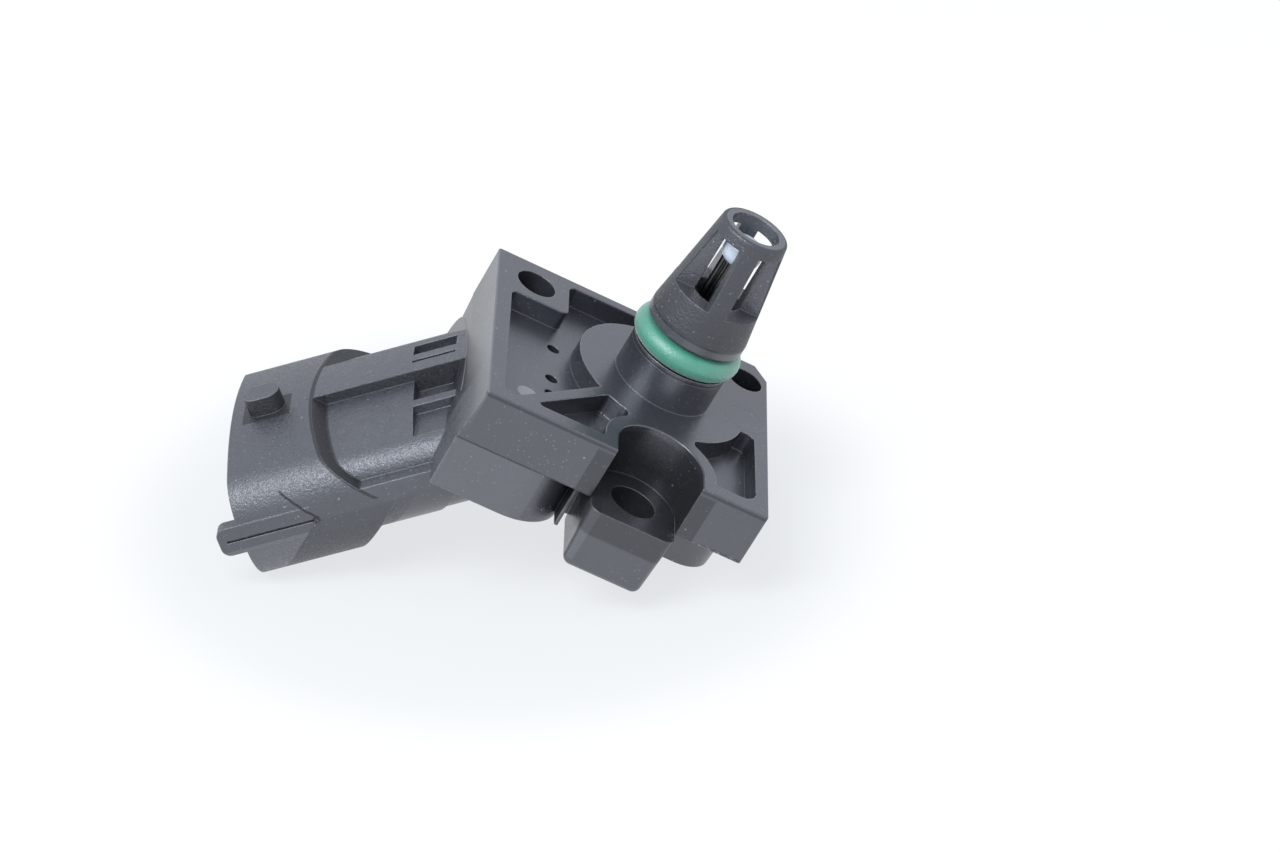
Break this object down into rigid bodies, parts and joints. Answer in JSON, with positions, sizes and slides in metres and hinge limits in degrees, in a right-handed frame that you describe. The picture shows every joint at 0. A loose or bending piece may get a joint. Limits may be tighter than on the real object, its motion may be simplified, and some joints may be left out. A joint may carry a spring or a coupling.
{
  "type": "manifold absolute pressure and temperature sensor",
  "caption": "Manifold pressure sensor: a sealed round port with a caged temperature bead, a flange with a screw lug, and a wide plug connector at an angle.",
  "frame": {"origin": "where the axis of the pressure port meets the flange face that lies on the manifold", "axes": "+Z along the port towards its tip, +X from the connector side to the free side, +Y from the screw lug side to the far side"},
  "size_m": [0.0572, 0.0383, 0.0624],
  "materials": {
    "plastic": "moulded, lightly grained",
    "seal": "satin",
    "cover": "moulded",
    "adhesive": "cured",
    "bead": "glazed",
    "lead": "drawn",
    "terminal": "tin plated",
    "cell": "moulded",
    "pedestal": "polished",
    "silicon": "polished",
    "wire": "drawn",
    "gel": "clear and soft",
    "board": "varnished",
    "ceramic": "fired",
    "solder": "bright"
  },
  "bodies": {
    "root": {"housing": "plastic", "o_ring": "seal", "back_cover": "cover", "cover_adhesive": "adhesive", "thermistor_bead": "bead", "thermistor_lead_a": "lead", "thermistor_lead_b": "lead", "terminal_1": "terminal", "terminal_2": "terminal", "terminal_3": "terminal", "terminal_4": "terminal", "cell_case": "cell", "cell_adhesive": "adhesive", "glass_pedestal": "pedestal", "sensor_die": "silicon", "signal_chip": "silicon", "bond_wires": "wire", "gel_fill": "gel", "circuit_board": "board", "capacitor_1": "ceramic", "capacitor_2": "ceramic", "capacitor_3": "ceramic", "solder_joints": "solder"}
  },
  "joints": []
}
